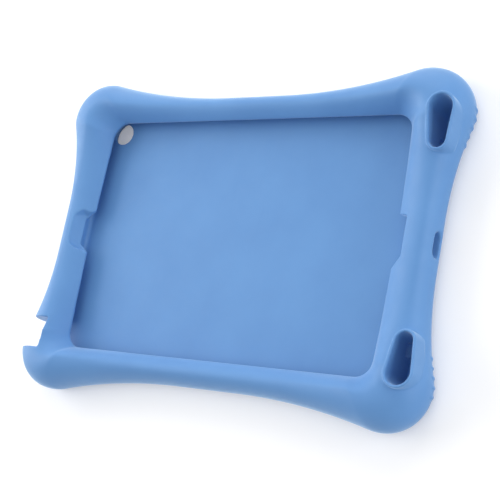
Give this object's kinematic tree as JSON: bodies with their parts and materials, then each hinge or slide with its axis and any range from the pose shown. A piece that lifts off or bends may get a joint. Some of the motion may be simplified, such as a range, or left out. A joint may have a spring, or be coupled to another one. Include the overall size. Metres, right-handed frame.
{
  "type": "kids tablet case",
  "caption": "Moulded silicone tablet case for children, with thin waists, swollen round corners, a lipped display window, sound wells and slots for the port, cameras and headphone plug.",
  "frame": {"origin": "centre of the case's outline, on the flat back face it lies on", "axes": "+Z out of the front of the tablet, +X towards the home button end, +Y towards the volume button side"},
  "size_m": [0.2982, 0.2166, 0.0335],
  "materials": {
    "silicone": "satin matte light blue silicone"
  },
  "bodies": {
    "root": {"silicone_case": "silicone"}
  },
  "joints": []
}
